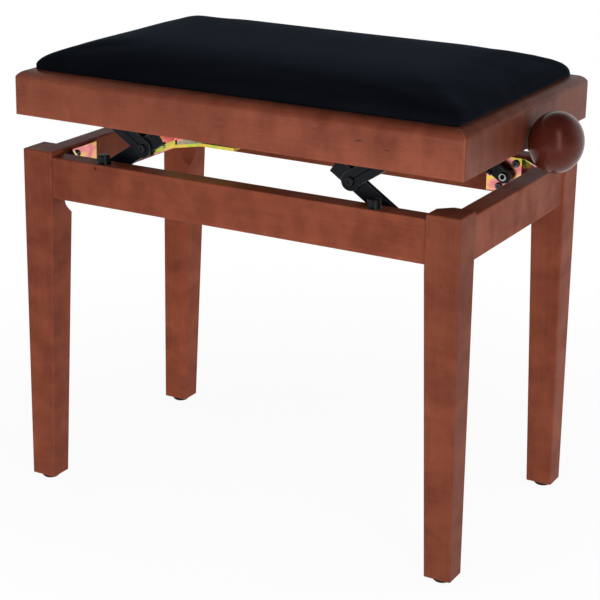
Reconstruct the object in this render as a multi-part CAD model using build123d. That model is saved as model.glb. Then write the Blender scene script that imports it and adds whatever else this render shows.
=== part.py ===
from build123d import *
import math
import os

# Piano bench with a height-adjustable seat, in millimetres, standing on Z = 0 with its front facing -Y.
# The bench is drawn about its own middle and moved along X at the end, so that the box round the
# bench and its side knob is centred on the origin.

# Seat frame
seat_length = 550.0
seat_depth = 338.0
rail_height = 50.0
rail_thickness = 24.0
rail_lip = 18.0
rail_edge_width = 13.0
rail_edge_drop = 10.0
rail_arris = 1.0
rail_corner_radius = 4.0
board_thickness = 12.0
board_clearance = 0.5

# Cushion: a low pad whose sides draw in a little at the seam and whose top is crowned
cushion_inset = 15.0
cushion_height = 34.0
cushion_side_height = 10.0
cushion_seam_draw = 1.2
cushion_corner_radius = 7.0
cushion_crown_inset = 105.0
cushion_crown_layers = 7

# Base
base_length = 541.0
base_depth = 325.0
leg_height = 400.0
leg_top = 39.0
leg_foot_width = 31.0
leg_foot_depth = 29.0
leg_splay = 3.0
leg_draw_in = 5.0
leg_block = 60.0
leg_rise = 6.0
leg_arris = 2.0
leg_top_arris = 1.2
leg_cut = 11.0
leg_cut_drop = 56.0
leg_cut_radius = 30.0
glide_height = 6.0
glide_radius = 10.0
glide_edge = 1.5
apron_height = 48.0
apron_thickness = 23.5
apron_set_back = 2.5
apron_arris = 1.5
bumper_clearance = 0.3
bumper_base_radius = 8.6
bumper_waist_radius = 7.3
bumper_top_radius = 6.8
bumper_edge = 1.2
bumper_from_pivot = 26.5
bumper_from_face = 10.0

# Corner brackets of folded sheet
bracket_sheet = 2.5
bracket_height = 43.0
bracket_below_apron_top = 3.0
bracket_diagonal = 30.0
bracket_inner_end = 24.0
bracket_end_flange = 46.0
screw_radius = 2.0
screw_length = 16.0
screw_head_radius = 4.5
screw_head_height = 2.8
screw_from_top = 7.0
screw_from_bottom = 6.5
screw_from_edge = 8.0
screw_from_end = 16.0
leg_bolt_radius = 4.0
leg_bolt_grip = 36.0
nut_flats_radius = 6.5
nut_height = 6.5
bolt_past_nut = 3.0

# Lifting linkage: each long arm runs from the base pivot to the nut, with the link at its middle
pivot_from_base_end = 76.0
base_pivot_drop = 25.3
seat_pivot_rise = 14.9
arm_half = 78.0
rest_lift = 86.2
lift_down = 35.7
lift_up = 46.0
lift_swing = math.radians(37.74)
arm_sheet = 2.5
arm_above = 10.3
arm_below = 8.0
arm_flange = 4.0
arm_flange_stop = 12.0
arm_neck_start = 25.3
arm_neck_low = 2.0
arm_eye_radius = 11.0
link_sheet = 2.5
link_above = 10.5
link_below = 8.5
link_end_radius = 10.5
link_web_start = 45.0
link_web_end = 68.0
link_inner_gap = 1.5
side_gap = 0.5
arm_to_bracket = 6.0
pivot_radius = 3.0
pivot_fit = 0.05
pivot_head_radius = 5.0
pivot_head_height = 2.0
pivot_head_edge = 0.8
pivot_head_gap = 0.3
pivot_dimple_radius = 2.3
pivot_dimple_depth = 1.2
stud_shoulder_radius = 7.0
pivot_play_spare = 0.4
pivot_play_up = 1.0

# Cross plates on the upper halves of the arms
cross_plate_sheet = 3.5
cross_plate_start = 11.0
cross_plate_from_neck = 1.0
cross_plate_start_drop = 4.0
cross_plate_fold = 29.0
cross_plate_fold_drop = 7.0
cross_plate_past_nut = 7.0
cross_plate_lip_drop = 27.2
cross_plate_lip_end = 15.0
cross_plate_notch = 56.0
cross_plate_side_gap = 0.5
cheek_start = 8.0
cheek_start_drop = 1.0
cheek_top_inset = 7.0
cheek_top_drop = 24.5

# Hinge brackets on the inner faces of the front and rear seat rails
hinge_sheet = 3.0
hinge_half_width = 20.0
hinge_flange = 14.0
hinge_depth = 13.5
hinge_end_clearance = 22.5
hinge_below = 15.0
hinge_above = 15.0
hinge_flange_rise = 1.0

# Spindle, nuts and knob
spindle_drop = 4.9
spindle_radius = 6.0
spindle_fit = 0.05
nut_length = 36.0
nut_width = 34.0
nut_wall = 10.0
nut_chamfer = 2.0
nut_side_fit = 0.15
rod_radius = 5.0
rod_grip = 7.0
rod_end = 3.0
bush_wall = 2.5
bush_flange_radius = 12.0
bush_flange = 2.0
bush_blind = 14.0
collar_radius = 11.0
collar_length = 10.0
collar_gap = 0.3
washer_radius = 13.0
washer_thickness = 2.0
knob_radius = 33.0
knob_length = 56.0
knob_flat_radius = 12.0
knob_socket = 26.0

# Heights and places that follow from the sizes above
leg_bottom = glide_height
leg_top_z = leg_bottom + leg_height
apron_top = leg_top_z - leg_rise
apron_bottom = apron_top - apron_height
base_pivot_z = apron_top - base_pivot_drop
top_pivot_z = base_pivot_z + rest_lift
spindle_z = top_pivot_z - spindle_drop
rail_bottom = top_pivot_z - seat_pivot_rise
rail_top = rail_bottom + rail_height
bumper_height = rail_bottom - lift_down - bumper_clearance - apron_top
half_length = seat_length / 2
half_depth = seat_depth / 2
rail_inner_y = half_depth - rail_thickness
rail_inner_x = half_length - rail_thickness
apron_face_x = base_length / 2 - apron_set_back
apron_face_y = base_depth / 2 - apron_set_back
apron_inner_x = apron_face_x - apron_thickness
apron_inner_y = apron_face_y - apron_thickness
leg_inner_x = base_length / 2 - leg_top
leg_inner_y = base_depth / 2 - leg_top
foot_x = base_length / 2 + leg_splay - leg_foot_width / 2
foot_y = base_depth / 2 - leg_draw_in - leg_foot_depth / 2
flange_face_y = apron_inner_y - bracket_sheet
pivot_x = min(
    base_length / 2 - pivot_from_base_end,
    rail_inner_x - hinge_end_clearance - hinge_flange - hinge_half_width,
)
bumper_x = pivot_x - bumper_from_pivot
arm_outer_y = min(flange_face_y - arm_to_bracket, rail_inner_y - hinge_depth - 2 * side_gap - link_sheet)
arm_inner_y = arm_outer_y - arm_sheet
link_inner_face_y = arm_outer_y + side_gap
link_outer_y = link_inner_face_y + link_sheet
link_back_y = arm_inner_y - arm_flange - link_inner_gap
link_end_y = link_back_y - link_sheet
hinge_face_y = link_outer_y + side_gap
rest_angle = math.asin(rest_lift / (2 * arm_half))
arm_cos = math.cos(rest_angle)
arm_sin = math.sin(rest_angle)
mid_pivot_x = pivot_x - arm_half * arm_cos
mid_pivot_z = base_pivot_z + arm_half * arm_sin
nut_x = pivot_x - 2 * arm_half * arm_cos
knob_start_x = half_length + washer_thickness
knob_end_x = knob_start_x + knob_length
centring_shift = -(knob_end_x - half_length) / 2
swing_per_lift = lift_swing / (lift_down + lift_up)


def arm_lag(lift):
    """How far the arms, which swing at a steady rate, fall behind the seat at some lift."""
    return rest_lift + lift - 2 * arm_half * math.sin(rest_angle + swing_per_lift * lift)


pivot_play_down = max(arm_lag(-lift_down), arm_lag(lift_up)) + pivot_play_spare
corners = {
    "front_left": (-1, -1),
    "front_right": (1, -1),
    "rear_left": (-1, 1),
    "rear_right": (1, 1),
}
ends = {"left": -1, "right": 1}
sides = {"front": -1, "rear": 1}
nodes = {}


def at_corner(shape, across, along):
    """A rear right piece carried to another corner: across is -1 on the left, along is -1 at the front."""
    if across < 0:
        shape = mirror(shape, about=Plane.YZ)
    if along < 0:
        shape = mirror(shape, about=Plane.XZ)
    return shape


def rod(start, direction, length, radius):
    """A round bar from a point, along a direction."""
    return extrude(Plane(origin=start, z_dir=direction) * Circle(radius), length)


def hexagon(start, direction, height, flats_radius):
    """A hexagon nut from its seat, along a direction."""
    corner_radius = flats_radius / math.cos(math.pi / 6)
    return extrude(Plane(origin=start, z_dir=direction) * RegularPolygon(corner_radius, 6), height)


def folded_sheet(points, thickness):
    """The outline of a sheet folded along a line of points, with its thickness on the line's left."""
    normals = []
    for (x0, y0), (x1, y1) in zip(points, points[1:]):
        run = math.hypot(x1 - x0, y1 - y0)
        normals.append((-(y1 - y0) / run, (x1 - x0) / run))
    other_side = []
    for index, (x, y) in enumerate(points):
        before = normals[max(index - 1, 0)]
        after = normals[min(index, len(normals) - 1)]
        mitre = thickness / (1 + before[0] * after[0] + before[1] * after[1])
        other_side.append((x + (before[0] + after[0]) * mitre, y + (before[1] + after[1]) * mitre))
    return make_face(Polyline(*points, *reversed(other_side), close=True))


def group(shapes):
    """Separate solids kept together as one node."""
    return Compound([solid for shape in shapes for solid in shape.solids()])


# Legs: a square block at the aprons, a taper below it, and the inner corner scooped out for the bracket
def make_leg():
    block_place = Pos(leg_inner_x + leg_top / 2, leg_inner_y + leg_top / 2, leg_top_z - leg_block)
    block_section = block_place * RectangleRounded(leg_top, leg_top, leg_arris)
    foot_section = RectangleRounded(leg_foot_width, leg_foot_depth, leg_arris)
    foot_section = Pos(foot_x, foot_y, leg_bottom) * foot_section
    block = extrude(block_section, leg_block)
    block = chamfer(block.edges().group_by(Axis.Z)[-1], leg_top_arris)
    leg = block + loft([foot_section, block_section])
    cut_back = leg_cut / math.sqrt(2)
    cut_corner = (leg_inner_x + cut_back, leg_inner_y + cut_back, 0)
    scoop_plane = Plane(cut_corner, x_dir=(-1, -1, 0), z_dir=(-1, 1, 0))
    flat_end = leg_top_z - leg_cut_drop
    over = leg_top_z + leg_cut_radius
    turn = math.radians(45)
    scoop_end = (leg_cut_radius, flat_end - leg_cut_radius)
    scoop_middle = (leg_cut_radius * (1 - math.cos(turn)), flat_end - leg_cut_radius * math.sin(turn))
    scoop = make_face(
        Polyline(scoop_end, (leg_cut_radius, over), (0, over), (0, flat_end))
        + ThreePointArc((0, flat_end), scoop_middle, scoop_end)
    )
    return leg - extrude(scoop_plane * scoop, leg_top, both=True)


def make_glide():
    disc = rod((foot_x, foot_y, 0), (0, 0, 1), glide_height, glide_radius)
    return chamfer(disc.edges().group_by(Axis.Z)[0], glide_edge)


# Corner brackets: one flange on the long apron, a diagonal across the corner, one flange on the end apron
flange_start_x = pivot_x - bracket_inner_end
diagonal_x = apron_inner_x - bracket_diagonal
diagonal_y = apron_inner_y - bracket_diagonal
flange_stop_y = diagonal_y - bracket_end_flange
bracket_top = apron_top - bracket_below_apron_top
bracket_bottom = bracket_top - bracket_height
bolt_z = bracket_bottom + bracket_height / 2
diagonal_middle = (apron_inner_x - bracket_diagonal / 2, apron_inner_y - bracket_diagonal / 2, bolt_z)
inward = (-1, -1, 0)
outward = (1, 1, 0)

screw_low_z = bracket_bottom + screw_from_bottom
screw_high_z = bracket_top - screw_from_top
screw_seats = [
    ((diagonal_x - screw_from_edge, flange_face_y, screw_high_z), (0, 1, 0)),
    ((flange_start_x + screw_from_end, flange_face_y, screw_low_z), (0, 1, 0)),
    ((apron_inner_x - bracket_sheet, diagonal_y - screw_from_edge, screw_high_z), (1, 0, 0)),
    ((apron_inner_x - bracket_sheet, flange_stop_y + screw_from_edge, screw_low_z), (1, 0, 0)),
]


def make_screw(seat, direction):
    """A pan-head screw whose head lies on its seat."""
    backward = tuple(-part for part in direction)
    head = rod(seat, backward, screw_head_height, screw_head_radius)
    return head + rod(seat, direction, screw_length, screw_radius)


def screw_hole(seat, direction):
    return rod(seat, direction, screw_length + pivot_fit, screw_radius + pivot_fit)


bracket_screws = [make_screw(*seat) for seat in screw_seats]
bracket_holes = [screw_hole(*seat) for seat in screw_seats]
bolt_hole = rod(diagonal_middle, outward, leg_bolt_grip + pivot_fit, leg_bolt_radius + pivot_fit)


def make_corner_bracket():
    line = [
        (apron_inner_x, flange_stop_y),
        (apron_inner_x, diagonal_y),
        (diagonal_x, apron_inner_y),
        (flange_start_x, apron_inner_y),
    ]
    plate = extrude(Pos(0, 0, bracket_bottom) * folded_sheet(line, bracket_sheet), bracket_height)
    through = rod(diagonal_middle, inward, 2 * bracket_sheet, leg_bolt_radius + pivot_fit)
    return plate - bracket_holes - bolt_hole - through


def make_leg_bolt():
    inner_length = bracket_sheet + nut_height + bolt_past_nut
    bar = rod(diagonal_middle, outward, leg_bolt_grip, leg_bolt_radius)
    return bar + rod(diagonal_middle, inward, inner_length, leg_bolt_radius)


def make_leg_nut():
    seat = tuple(place + bracket_sheet / math.sqrt(2) * way for place, way in zip(diagonal_middle, inward))
    nut = hexagon(seat, inward, nut_height, nut_flats_radius)
    return nut - rod(seat, inward, nut_height, leg_bolt_radius + pivot_fit)


# Aprons between the legs, with blind holes for the bracket screws
def make_apron(length, place, along_x):
    size = (length, apron_thickness, apron_height) if along_x else (apron_thickness, length, apron_height)
    board = Pos(place[0], place[1], apron_bottom + apron_height / 2) * Box(*size)
    long_edges = board.edges().filter_by(Axis.X if along_x else Axis.Y)
    board = fillet(long_edges, apron_arris)
    holes = [at_corner(hole, *corner) for hole in bracket_holes for corner in corners.values()]
    return board - holes


def make_bumper():
    """A rubber button with a flared foot."""
    flare = bumper_height / 4
    stem = bumper_height - flare
    body = Pos(0, 0, flare / 2) * Cone(bumper_base_radius, bumper_waist_radius, flare)
    body += Pos(0, 0, flare + stem / 2) * Cone(bumper_waist_radius, bumper_top_radius, stem)
    body = fillet(body.edges().group_by(Axis.Z)[-1], min(bumper_edge, stem / 2))
    return Pos(bumper_x, apron_face_y - bumper_from_face, apron_top) * body


leg = make_leg() - bolt_hole
glide = make_glide()
corner_bracket = make_corner_bracket()
bumper = make_bumper()
for corner, (across, along) in corners.items():
    nodes[corner + "_leg"] = at_corner(leg, across, along)
    nodes[corner + "_foot_glide"] = at_corner(glide, across, along)
    nodes[corner + "_corner_bracket"] = at_corner(corner_bracket, across, along)
    nodes[corner + "_stop_bumper"] = at_corner(bumper, across, along)
apron_middle_y = apron_inner_y + apron_thickness / 2
apron_middle_x = apron_inner_x + apron_thickness / 2
for side, along in sides.items():
    nodes[side + "_apron"] = make_apron(2 * leg_inner_x, (0, along * apron_middle_y), True)
for end, across in ends.items():
    nodes[end + "_apron"] = make_apron(2 * leg_inner_y, (across * apron_middle_x, 0), False)
nodes["leg_bolts"] = group([at_corner(make_leg_bolt(), *corner) for corner in corners.values()])
nodes["leg_nuts"] = group([at_corner(make_leg_nut(), *corner) for corner in corners.values()])
nodes["apron_screws"] = group(
    [at_corner(screw, *corner) for screw in bracket_screws for corner in corners.values()]
)


# Arms: a pressed steel strip with turned-in edges, which narrows to a neck on its way to the nut
arm_length = 2 * arm_half
arm_middle = (arm_above - arm_below) / 2
neck_start = arm_half + arm_neck_start
toward_middle = (0, -1, 0)


def arm_plane(y):
    """The plane of an arm: x runs from the base pivot to the spindle, y is up, z is outward."""
    return Plane((pivot_x, y, base_pivot_z), x_dir=(-arm_cos, 0, arm_sin), z_dir=(0, 1, 0))


def arm_strip(start, stop, low, high):
    return Pos((start + stop) / 2, (low + high) / 2) * Rectangle(stop - start, high - low)


def arm_point(along, above):
    """The place in the upright plane of a point along an arm and some way above its axis."""
    x = pivot_x - along * arm_cos + above * arm_sin
    return (x, base_pivot_z + along * arm_sin + above * arm_cos)


def make_arm():
    outline = arm_strip(0, neck_start, -arm_below, arm_above)
    outline += arm_strip(neck_start, arm_length, arm_neck_low, arm_above)
    outline += Pos(0, arm_middle) * Circle((arm_above + arm_below) / 2)
    outline += Pos(arm_length, 0) * Circle(arm_eye_radius)
    web = outline - Circle(pivot_radius + pivot_fit)
    web -= Pos(arm_half, 0) * Circle(pivot_radius + pivot_fit)
    web -= Pos(arm_length, 0) * Circle(rod_radius + pivot_fit)
    upper = arm_strip(0, arm_length, arm_above - arm_sheet, arm_above)
    lower = arm_strip(arm_flange_stop, arm_half - arm_flange_stop, -arm_below, -arm_below + arm_sheet)
    lower += arm_strip(arm_half + arm_flange_stop, neck_start, -arm_below, -arm_below + arm_sheet)
    body = extrude(arm_plane(arm_inner_y) * web, arm_sheet)
    return body + extrude(arm_plane(arm_inner_y) * (upper + lower), -arm_flange)


def pivot_head(x, y, z, way):
    """A low riveted head on its seat, toward the outside with way 1 or the middle with -1."""
    head = rod((x, y, z), (0, way, 0), pivot_head_height, pivot_head_radius)
    rim = head.edges().group_by(Axis.Y)[-1 if way > 0 else 0]
    top = (x, y + way * pivot_head_height, z)
    return fillet(rim, pivot_head_edge) - rod(top, (0, -way, 0), pivot_dimple_depth, pivot_dimple_radius)


def make_base_pivot_stud():
    """A pin set in the corner bracket, with a shoulder that holds the arm off the bracket."""
    shoulder_y = arm_outer_y + arm_to_bracket
    shoulder_length = arm_to_bracket - pivot_head_gap
    head_y = arm_inner_y - pivot_head_gap
    stud = rod((pivot_x, shoulder_y, base_pivot_z), toward_middle, shoulder_length, stud_shoulder_radius)
    stud += rod((pivot_x, flange_face_y, base_pivot_z), toward_middle, flange_face_y - head_y, pivot_radius)
    return stud + pivot_head(pivot_x, head_y, base_pivot_z, -1)


def make_mid_bolt():
    head_y = link_outer_y + pivot_head_gap
    tail_y = link_end_y - pivot_head_gap
    bolt = rod((mid_pivot_x, head_y, mid_pivot_z), toward_middle, head_y - tail_y, pivot_radius)
    bolt += pivot_head(mid_pivot_x, head_y, mid_pivot_z, 1)
    return bolt + pivot_head(mid_pivot_x, tail_y, mid_pivot_z, -1)


# Links: a channel that straddles the arm, closed along its upper edge near the seat pivot
def link_plane(y):
    """The plane of a link: x runs from the mid pivot up to the seat pivot, y is up, z is inward."""
    return Plane((mid_pivot_x, y, mid_pivot_z), x_dir=(arm_cos, 0, arm_sin), z_dir=(0, -1, 0))


def make_link():
    outline = arm_strip(0, arm_half, -link_below, link_above)
    for eye in (Pos(0, 0), Pos(arm_half, 0)):
        outline += eye * Circle(link_end_radius)
        outline -= eye * Circle(pivot_radius + pivot_fit)
    web = arm_strip(link_web_start, link_web_end, link_above - link_sheet, link_above)
    body = extrude(link_plane(link_outer_y) * outline, link_sheet)
    body += extrude(link_plane(link_back_y) * outline, link_sheet)
    return body + extrude(link_plane(link_outer_y) * web, link_outer_y - link_end_y)


def make_link_pin():
    head_y = hinge_face_y + hinge_sheet + pivot_head_gap
    clip_y = link_end_y
    pin = rod((pivot_x, head_y, top_pivot_z), (0, 1, 0), pivot_head_height, pivot_head_radius)
    pin += rod((pivot_x, head_y, top_pivot_z), toward_middle, head_y - clip_y + bolt_past_nut, pivot_radius)
    return pin + rod((pivot_x, clip_y, top_pivot_z), toward_middle, bolt_past_nut, pivot_head_radius)


# Cross plates: the right one lies in the arms' lower flanges, the left one hangs under them on two cheeks
# and runs on past the nut as a long lip
plate_half = arm_inner_y - cross_plate_side_gap
plate_start = arm_half + cross_plate_start


def make_right_cross_plate():
    seat = arm_sheet - arm_below
    line = [arm_point(neck_start - cross_plate_from_neck, seat), arm_point(plate_start, seat)]
    return extrude(Plane.XZ * folded_sheet(line, cross_plate_sheet), plate_half, both=True)


def make_left_cross_plate():
    lip_z = spindle_z - cross_plate_lip_drop
    lip_start = (nut_x - cross_plate_past_nut, lip_z)
    fold = arm_point(arm_half + cross_plate_fold, -arm_below - cross_plate_fold_drop)
    near = arm_point(plate_start, -arm_below - cross_plate_start_drop)
    line = [(cross_plate_lip_end, lip_z), lip_start, fold, near]
    plate = extrude(Plane.XZ * folded_sheet(line, cross_plate_sheet), plate_half, both=True)
    cheek_foot = arm_point(arm_half - cheek_start, -arm_below)
    cheek_low = arm_point(arm_half - cheek_start, -arm_below - cheek_start_drop)
    cheek_top = (fold[0] - cheek_top_inset, spindle_z - cheek_top_drop)
    cheek_end = arm_point(neck_start, -arm_below)
    cheek_back = (fold[0] - cheek_top_inset, fold[1] + cross_plate_sheet)
    outline = [cheek_foot, cheek_low, near, fold, cheek_back, cheek_top, cheek_end]
    cheek = make_face(Polyline(*outline, close=True))
    for way in sides.values():
        cheek_plane = Plane((0, way * plate_half, 0), x_dir=(1, 0, 0), z_dir=(0, -1, 0))
        plate += extrude(cheek_plane * cheek, way * cross_plate_sheet)
    notch_length = nut_x + nut_length / 2
    notch = Box(notch_length, cross_plate_notch, cross_plate_notch)
    return plate - Pos(notch_length / 2, 0, lip_z) * notch


# Nut blocks: the spindle's thread runs in an upright slot that takes up the arms' rise and fall
def make_nut_block():
    top = spindle_radius + pivot_play_down + nut_wall
    bottom = spindle_radius + pivot_play_up + nut_wall
    block = Pos(nut_x, 0, spindle_z + (top - bottom) / 2) * Box(nut_length, nut_width, top + bottom)
    block = chamfer(block.edges().filter_by(Axis.X), nut_chamfer)
    slot_radius = spindle_radius + nut_side_fit
    slot = Pos(pivot_play_down, 0) * Circle(slot_radius) + Pos(-pivot_play_up, 0) * Circle(slot_radius)
    slot += Pos((pivot_play_down - pivot_play_up) / 2, 0) * Rectangle(
        pivot_play_down + pivot_play_up, 2 * slot_radius
    )
    slot_plane = Plane((nut_x - nut_length / 2, 0, spindle_z), x_dir=(0, 0, 1), z_dir=(1, 0, 0))
    block -= extrude(slot_plane * slot, nut_length)
    for along in sides.values():
        seat = (nut_x, along * nut_width / 2, top_pivot_z)
        block -= rod(seat, (0, -along, 0), rod_grip, rod_radius + pivot_fit)
    return block


def make_cross_rods():
    start = nut_width / 2 - rod_grip
    length = arm_outer_y + rod_end - start
    rods = [rod((nut_x, way * start, top_pivot_z), (0, way, 0), length, rod_radius) for way in sides.values()]
    return group(rods)


arm = make_arm()
stud = make_base_pivot_stud()
mid_bolt = make_mid_bolt()
link = make_link()
link_pin = make_link_pin()
nodes["base_pivot_studs"] = group([at_corner(stud, *corner) for corner in corners.values()])
for end, across in ends.items():
    for side, along in sides.items():
        nodes[f"{end}_{side}_arm"] = at_corner(arm, across, along)
        nodes[f"{end}_{side}_link"] = at_corner(link, across, along)
    nodes[end + "_mid_bolts"] = group([at_corner(mid_bolt, across, along) for along in sides.values()])
    nodes[end + "_link_pins"] = group([at_corner(link_pin, across, along) for along in sides.values()])
    nodes[end + "_nut_block"] = at_corner(make_nut_block(), across, 1)
    nodes[end + "_cross_rods"] = at_corner(make_cross_rods(), across, 1)
nodes["right_cross_plate"] = make_right_cross_plate()
nodes["left_cross_plate"] = at_corner(make_left_cross_plate(), -1, 1)


# Seat rails: one moulded section, mitred at the corners
def rail_section():
    over_board = rail_height - board_thickness
    shoulder = rail_height - rail_edge_drop
    square_side = Polyline(
        (0, shoulder),
        (0, rail_arris),
        (rail_arris, 0),
        (rail_thickness, 0),
        (rail_thickness, over_board),
        (rail_lip, over_board),
        (rail_lip, rail_height),
        (rail_edge_width, rail_height),
    )
    radius = (rail_edge_width ** 2 + rail_edge_drop ** 2) / (2 * rail_edge_drop)
    half_turn = math.atan2(rail_edge_width, radius - rail_edge_drop) / 2
    crown = (rail_edge_width - radius * math.sin(half_turn), rail_height - radius * (1 - math.cos(half_turn)))
    return make_face(square_side + ThreePointArc((rail_edge_width, rail_height), crown, (0, shoulder)))


def make_rail(rear):
    """The rear rail, or else the right one, cut to its mitres."""
    if rear:
        plane = Plane((0, half_depth, rail_bottom), x_dir=(0, -1, 0), z_dir=(-1, 0, 0))
        far_corner = (-half_length, half_depth)
        far_mitre = (-rail_inner_x, rail_inner_y)
    else:
        plane = Plane((half_length, 0, rail_bottom), x_dir=(-1, 0, 0), z_dir=(0, 1, 0))
        far_corner = (half_length, -half_depth)
        far_mitre = (rail_inner_x, -rail_inner_y)
    outline = [far_corner, (half_length, half_depth), (rail_inner_x, rail_inner_y), far_mitre]
    bar = extrude(plane * rail_section(), half_length if rear else half_depth, both=True)
    frame_outline = RectangleRounded(seat_length, seat_depth, rail_corner_radius)
    plan = make_face(Polyline(*outline, close=True)) & frame_outline
    return bar & extrude(Pos(0, 0, rail_bottom) * plan, rail_height)


# Cushion: rounded rectangles that swell above the seam and follow a quarter ellipse up to the crown
def make_cushion():
    length = seat_length - 2 * cushion_inset
    depth = seat_depth - 2 * cushion_inset
    rise = cushion_height - cushion_side_height
    layers = [(0, cushion_seam_draw)]
    for layer in range(cushion_crown_layers):
        turn = math.pi / 2 * layer / (cushion_crown_layers - 1)
        height = cushion_side_height + rise * math.sin(turn)
        layers.append((height, cushion_crown_inset * (1 - math.cos(turn))))
    sections = [
        Pos(0, 0, rail_top + height)
        * RectangleRounded(length - 2 * inset, depth - 2 * inset, cushion_corner_radius)
        for height, inset in layers
    ]
    return loft(sections, ruled=True)


# Hinge brackets: a folded channel on the rail with a slot in which the link pin hangs; its flanges end
# above the rail's lower edge, clear of the bumpers
def make_hinge_bracket():
    depth = rail_inner_y - hinge_face_y
    half = hinge_half_width
    line = [
        (pivot_x - half - hinge_flange, rail_inner_y - hinge_sheet),
        (pivot_x - half, rail_inner_y - hinge_sheet),
        (pivot_x - half, hinge_face_y),
        (pivot_x + half, hinge_face_y),
        (pivot_x + half, rail_inner_y - hinge_sheet),
        (pivot_x + half + hinge_flange, rail_inner_y - hinge_sheet),
    ]
    height = hinge_below + hinge_above
    plate = extrude(Pos(0, 0, top_pivot_z - hinge_below) * folded_sheet(line, hinge_sheet), height)
    slot_radius = pivot_radius + pivot_head_gap
    slot = rod((pivot_x, hinge_face_y, top_pivot_z + pivot_play_up), (0, 1, 0), depth, slot_radius)
    slot += rod((pivot_x, hinge_face_y, top_pivot_z - pivot_play_down), (0, 1, 0), depth, slot_radius)
    middle = Pos(pivot_x, hinge_face_y + depth / 2, top_pivot_z + (pivot_play_up - pivot_play_down) / 2)
    slot += middle * Box(2 * slot_radius, depth, pivot_play_up + pivot_play_down)
    flange_cut = hinge_below - seat_pivot_rise + hinge_flange_rise
    cut_place = Pos(pivot_x, rail_inner_y - hinge_sheet / 2, top_pivot_z - hinge_below + flange_cut / 2)
    for way in ends.values():
        side_place = cut_place * Pos(way * (half + hinge_flange / 2), 0, 0)
        plate -= side_place * Box(hinge_flange, hinge_sheet, flange_cut)
    return plate - slot


hinge_screw_seats = [
    ((pivot_x + offset, rail_inner_y - hinge_sheet, top_pivot_z), (0, 1, 0))
    for offset in (-hinge_half_width - hinge_flange / 2, hinge_half_width + hinge_flange / 2)
]
hinge_holes = [screw_hole(*seat) for seat in hinge_screw_seats]
hinge_bracket = make_hinge_bracket() - hinge_holes
for corner, (across, along) in corners.items():
    nodes[corner + "_hinge_bracket"] = at_corner(hinge_bracket, across, along)
nodes["hinge_screws"] = group(
    [at_corner(make_screw(*seat), *corner) for seat in hinge_screw_seats for corner in corners.values()]
)

# Spindle with its bushes, collar, washer and ball knob; the left bush sits in a blind hole
along_x = (1, 0, 0)
bush_radius = spindle_radius + spindle_fit + bush_wall
left_bore_x = -rail_inner_x - bush_blind


def make_bush(start_x, length, flange_x):
    bush = rod((start_x, 0, spindle_z), along_x, length, bush_radius)
    bush += rod((flange_x, 0, spindle_z), along_x, bush_flange, bush_flange_radius)
    return bush - rod((start_x - length, 0, spindle_z), along_x, 3 * length, spindle_radius + spindle_fit)


rail_holes = [at_corner(hole, *corner) for hole in hinge_holes for corner in corners.values()]
long_rail = make_rail(True) - rail_holes
short_rail = make_rail(False)
for side, along in sides.items():
    nodes[side + "_rail"] = at_corner(long_rail, 1, along)
bore_radius = bush_radius + spindle_fit
right_bore = rod((rail_inner_x, 0, spindle_z), along_x, rail_thickness, bore_radius)
left_bore = rod((left_bore_x, 0, spindle_z), along_x, bush_blind, bore_radius)
nodes["right_rail"] = short_rail - right_bore
nodes["left_rail"] = at_corner(short_rail, -1, 1) - left_bore
board_length = seat_length - 2 * rail_lip - board_clearance
board_depth = seat_depth - 2 * rail_lip - board_clearance
board = Box(board_length, board_depth, board_thickness)
nodes["seat_board"] = Pos(0, 0, rail_top - board_thickness / 2) * board
nodes["cushion"] = make_cushion()
nodes["right_spindle_bush"] = make_bush(
    rail_inner_x - bush_flange, rail_thickness + bush_flange, rail_inner_x - bush_flange
)
nodes["left_spindle_bush"] = make_bush(left_bore_x, bush_blind + bush_flange, -rail_inner_x)

spindle_bore = spindle_radius + spindle_fit
collar_start_x = rail_inner_x - bush_flange - collar_gap - collar_length
collar = rod((collar_start_x, 0, spindle_z), along_x, collar_length, collar_radius)
nodes["thrust_collar"] = collar - rod((collar_start_x, 0, spindle_z), along_x, collar_length, spindle_bore)
washer = rod((half_length + collar_gap, 0, spindle_z), along_x, washer_thickness - collar_gap, washer_radius)
nodes["knob_washer"] = washer - rod((half_length, 0, spindle_z), along_x, washer_thickness, spindle_bore)
spindle_start_x = left_bore_x + collar_gap
spindle_length = knob_start_x + knob_socket - spindle_start_x
nodes["spindle"] = rod((spindle_start_x, 0, spindle_z), along_x, spindle_length, spindle_radius)


def make_knob():
    """An oblate ball turned about the spindle, with a flat where it meets the washer."""
    flat_share = knob_flat_radius / knob_radius
    half_span = knob_length / (1 + math.sqrt(1 - flat_share ** 2))
    centre = knob_length - half_span
    profile = Pos(centre, 0) * Ellipse(half_span, knob_radius)
    profile &= Pos(knob_length / 2, knob_radius / 2) * Rectangle(knob_length, knob_radius)
    profile -= Pos(knob_socket / 2, 0) * Rectangle(knob_socket, 2 * spindle_bore)
    knob_plane = Plane((knob_start_x, 0, spindle_z), x_dir=(1, 0, 0), z_dir=(0, -1, 0))
    return revolve(knob_plane * profile, Axis((knob_start_x, 0, spindle_z), along_x))


nodes["knob"] = make_knob()

os.makedirs("parts", exist_ok=True)
for name, shape in nodes.items():
    export_step(Pos(centring_shift, 0, 0) * shape, f"parts/{name}.step")
print(len(nodes), "nodes, shift", round(centring_shift, 3))
print("base pivot", pivot_x, base_pivot_z, "mid pivot", round(mid_pivot_x, 4), round(mid_pivot_z, 4))
print("play", round(pivot_play_down, 3), "bumper", round(bumper_height, 3))
print("nut", round(nut_x, 4), "top pivot z", top_pivot_z, "spindle z", spindle_z)
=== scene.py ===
# %% [markdown]
# # A piano bench with a seat that winds up and down
# The frame holds the bench as it was constructed: boards, brackets, a lifting linkage and a plain pad.
# This lesson dresses it. The boards get stained wood, the sheet metal its zinc and paint, and the pad,
# the spindle and the fasteners are modelled again as what they really are.

# %% Load the bench and keep its box
import math

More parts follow.
